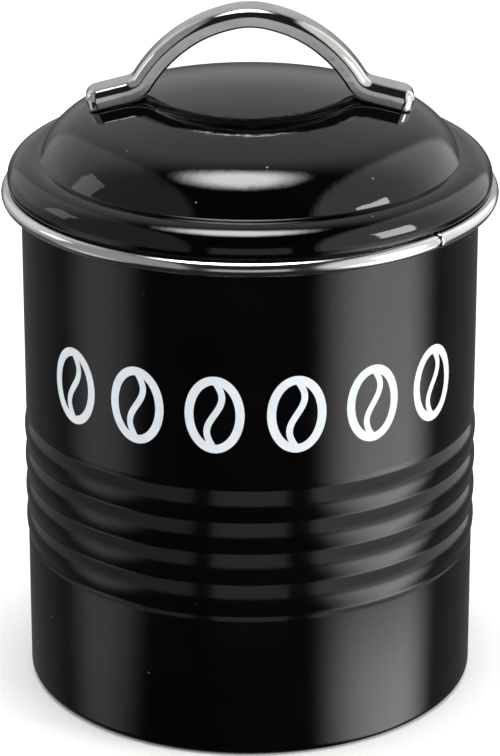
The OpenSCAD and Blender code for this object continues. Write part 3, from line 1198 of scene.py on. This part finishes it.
    def screws(self) -> bpy.types.Object:
        """The two pan-head screws, seen from below, with cross recesses and cut threads."""
        length = self.strap_underside() - self.seat() - self.screw_end_gap
        r, h, bevel = self.head_radius, self.head_height, 0.15 * MM
        plain, run_out, point = 1 * MM, 1.2 * MM, 0.4 * MM
        head = arc((0.0, -h / 3), (r, h * 2 / 3), 270, 360, 12) + [(r, -bevel), (r - bevel, 0.0)]
        head[0] = (0.0, head[0][1])
        thread: list[Point] = [(self.screw_radius, 0.0)]
        for i in range(int((length - run_out) / self.thread_pitch)):
            z = plain + i * self.thread_pitch
            thread += [(self.screw_radius, z)]
            thread += [(self.screw_radius - self.thread_depth, z + self.thread_pitch / 2)]
        thread += [(self.screw_radius - point, length), (0.0, length)]
        piece = lathe("screw_pair", head + thread, 64)
        recess: list = []
        faces: list = []
        arm, slot, floor = 0.483 * r, 0.1265 * r, -h * 0.45
        for wide, deep in ((arm, slot), (slot, arm)):
            base = len(recess)
            recess += [(x * wide, y * deep, z) for z in (-h - MM, floor)
                       for x, y in ((-1, -1), (1, -1), (1, 1), (-1, 1))]
            faces += [tuple(base + i for i in f) for f in
                      ((0, 1, 2, 3), (4, 5, 6, 7), (0, 1, 5, 4), (1, 2, 6, 5), (2, 3, 7, 6), (3, 0, 4, 7))]
        cutter = make_piece("recess_cutter", recess, faces)
        cut = piece.modifiers.new("Recess", "BOOLEAN")
        cut.operation, cut.object, cut.solver, cut.use_self = "DIFFERENCE", cutter, "EXACT", True
        settle(piece)
        bpy.data.objects.remove(cutter)
        self.pair(piece, self.seat(), self.steel)
        return settle_on(piece, Body.LID, Slot.FASTENER, self.steel, "handle_screws")

    def washers(self) -> bpy.types.Object:
        """The two washers between the screw heads and the dome."""
        hole, r = self.screw_radius + self.hole_gap, self.washer_radius
        t, soft = self.washer_t, self.washer_round
        outline = [(hole, soft), (hole + soft, 0), (r - soft, 0), (r, soft), (r, t - soft), (r - soft, t),
                   (hole + soft, t), (hole, t - soft)]
        piece = self.pair(lathe("washer_pair", outline, 72), self.seat(), self.steel)
        return settle_on(piece, Body.LID, Slot.FASTENER, self.steel, "handle_washers")

    def build(self) -> list[bpy.types.Object]:
        """Builds the handle's pieces."""
        return [self.strap(), self.bosses(), self.screws(), self.washers()]


# ---- Studio ----


@dataclass(frozen=True)
class Softbox:
    """A soft rectangular light aimed at the canister."""

    name: str
    azimuth: float
    elevation: float
    distance: float
    size: Point
    radiance: float
    mirrored: bool
    tint: Colour = (1.0, 1.0, 1.0)

    def build(self, target: Vector) -> bpy.types.Object:
        """Makes the light.

        Args:
            target: The point that it faces.

        Returns:
            The light's object.
        """
        a, e = radians(self.azimuth), radians(self.elevation)
        back = Vector((sin(a) * cos(e), -cos(a) * cos(e), sin(e)))
        lamp = bpy.data.lights.new(self.name, "AREA")
        lamp.shape, lamp.size, lamp.size_y = "RECTANGLE", *self.size
        lamp.energy = self.radiance * pi * self.size[0] * self.size[1]
        lamp.color = self.tint
        light = bpy.data.objects.new(self.name, lamp)
        light.visible_glossy = self.mirrored
        light.location = target + back * self.distance
        light.rotation_euler = back.to_track_quat("Z", "Y").to_euler()
        bpy.context.scene.collection.objects.link(light)
        return light


@dataclass
class Studio:
    """The pale table, the soft lights, the white surroundings and the camera."""

    table: bpy.types.Material
    target: Vector = field(default_factory=lambda: Vector((0.0, 0.0, 0.09)))
    floor_half: float = 4.0
    eye: Sequence[float] = (0.0, -0.7925, 0.3896)
    tilt: float = 68.16
    lens: float = 173.57
    sensor: float = 36.0
    room_light: float = 0.012
    wall_light: Point = (0.1, 0.42)
    right_window: float = 0.85
    left_window: float = 0.3
    door_light: float = 0.45
    right_sheen: Point = (1.6, 2.0)
    left_sheen: float = 0.7
    ceiling_light: float = 14.0
    softboxes: Sequence[Softbox] = (
        Softbox("overhead_box", -30.0, 88.0, 0.62, (0.40, 0.22), 12.0, False, (1.0, 0.97, 0.93)),
        Softbox("right_box", 69.0, 14.0, 0.75, (0.26, 0.36), 9.0, True, (1.0, 0.98, 0.95)),
        Softbox("left_box", -100.0, 22.0, 0.80, (0.2, 0.3), 1.2, True),
    )

    def floor(self) -> None:
        """A wide floor that lifts no reflection into the gloss."""
        r = self.floor_half
        floor = make_piece("table_top", [(-r, -r, 0), (r, -r, 0), (r, r, 0), (-r, r, 0)], [(0, 1, 2, 3)])
        floor.data.materials.append(self.table)
        floor.visible_glossy = False
        floor.visible_shadow = False

    def surroundings(self) -> None:
        """White to the eye and to matt surfaces; in reflections a white wall behind, a dark room before."""
        world = bpy.data.worlds.new("studio")
        bpy.context.scene.world = world
        world.use_nodes = True
        world.node_tree.nodes.clear()
        tree = Tree(world.node_tree)
        x, y, z = tree.split(tree.signal("ShaderNodeTexCoord", output="Generated"))
        wall_low, wall_rise = self.wall_light
        behind = y.ramp(0.05, 0.6) * (z.ramp(-0.2, 0.15) * wall_rise + wall_low)
        height = z.ramp(-0.34, -0.28) * z.ramp(0.97, 0.8)
        windows = x.ramp(0.46, 0.56) * self.right_window + x.ramp(-0.42, -0.5) * self.left_window
        door = z.ramp(-0.36, -0.28) * z.ramp(0.3, 0.1) * abs(x).ramp(0.34, 0.28) * y.ramp(0.0, -0.3)
        sheen_low, sheen_rise = self.right_sheen
        right = x.ramp(0.45, 0.85) * (z.ramp(-0.36, -0.48) * sheen_rise + sheen_low)
        left = x.ramp(-0.72, -0.9) * self.left_sheen
        sheen = z.ramp(-0.2, -0.4) * y.ramp(0.35, -0.1) * (right + left)
        spread = ((x + 0.05) * (x + 0.05) * 8.5 + y * y * 11).power(0.5)
        ceiling = z.ramp(0.5, 0.8) * spread.ramp(1.15, 0.35) * self.ceiling_light
        glossy = self.room_light + behind + height * windows + door * self.door_light + sheen + ceiling
        ray = tree.node("ShaderNodeLightPath")
        is_glossy = Signal(tree, ray.outputs["Is Glossy Ray"])
        strength = is_glossy * glossy + (1 - is_glossy)
        sky = tree.signal("ShaderNodeBackground", None, {"Color": (1, 1, 1, 1), "Strength": strength})
        tree.node("ShaderNodeOutputWorld", None, {"Surface": sky})

    def camera(self) -> None:
        """A long lens above the front, looking down at the lid."""
        lens = bpy.data.cameras.new("camera")
        lens.lens, lens.sensor_width, lens.clip_start = self.lens, self.sensor, 0.01
        camera = bpy.data.objects.new("camera", lens)
        camera.location = self.eye
        camera.rotation_euler = (radians(self.tilt), 0.0, 0.0)
        bpy.context.scene.collection.objects.link(camera)
        bpy.context.scene.camera = camera

    def build(self) -> None:
        """Builds the studio."""
        self.floor()
        self.surroundings()
        for box in self.softboxes:
            box.build(self.target)
        self.camera()
        bpy.context.scene.view_settings.view_transform = "Standard"
        LOG.info("studio with %d softboxes", len(self.softboxes))


def main() -> None:
    """Builds the canister and its studio."""
    body_coat = PowderCoat("body_coat").build()
    base_coat = PowderCoat("base_coat", gloss=0.34, peel_scale=1100.0, peel_depth=0.000012).build()
    lid_coat = PowderCoat(
        "lid_coat", gloss=0.05, gloss_spread=0.02, peel_scale=420.0, peel_depth=0.000022
    ).build()
    ring_steel = Steel("ring_steel", grain=(1.0, 1.0, 25.0)).build()
    collar_steel = Steel("collar_steel", gloss=0.3, dark=(0.5, 0.5, 0.5)).build()
    # The chrome's darker colour along its drawn grain is partly the plating's own grain and partly painted
    # reflection, standing in for the dark streaks the chrome mirrors.
    chrome = Steel(
        "handle_chrome", light=(0.84, 0.83, 0.81), dark=(0.55, 0.54, 0.52), gloss=0.08, gloss_spread=0.08,
        grain=(1.0, 30.0, 1.0), mottle_scale=170.0, mottle_depth=0.00007,
    ).build()
    fastener = Steel("fastener_steel", gloss=0.22, grain=(1.0, 1.0, 1.0)).build()
    silicone = Silicone("seal_silicone").build()
    ink = Ink("print_ink").build()
    Canister(body_coat, base_coat, ring_steel, ink).build()
    lid = Lid(lid_coat, collar_steel, silicone)
    lid.build()
    StrapHandle(lid, chrome, fastener).build()
    Studio(PaleTable("table_top").build()).build()


if __name__ == "__main__":
    logging.basicConfig(level=logging.INFO, format="%(name)s: %(message)s")
    main()
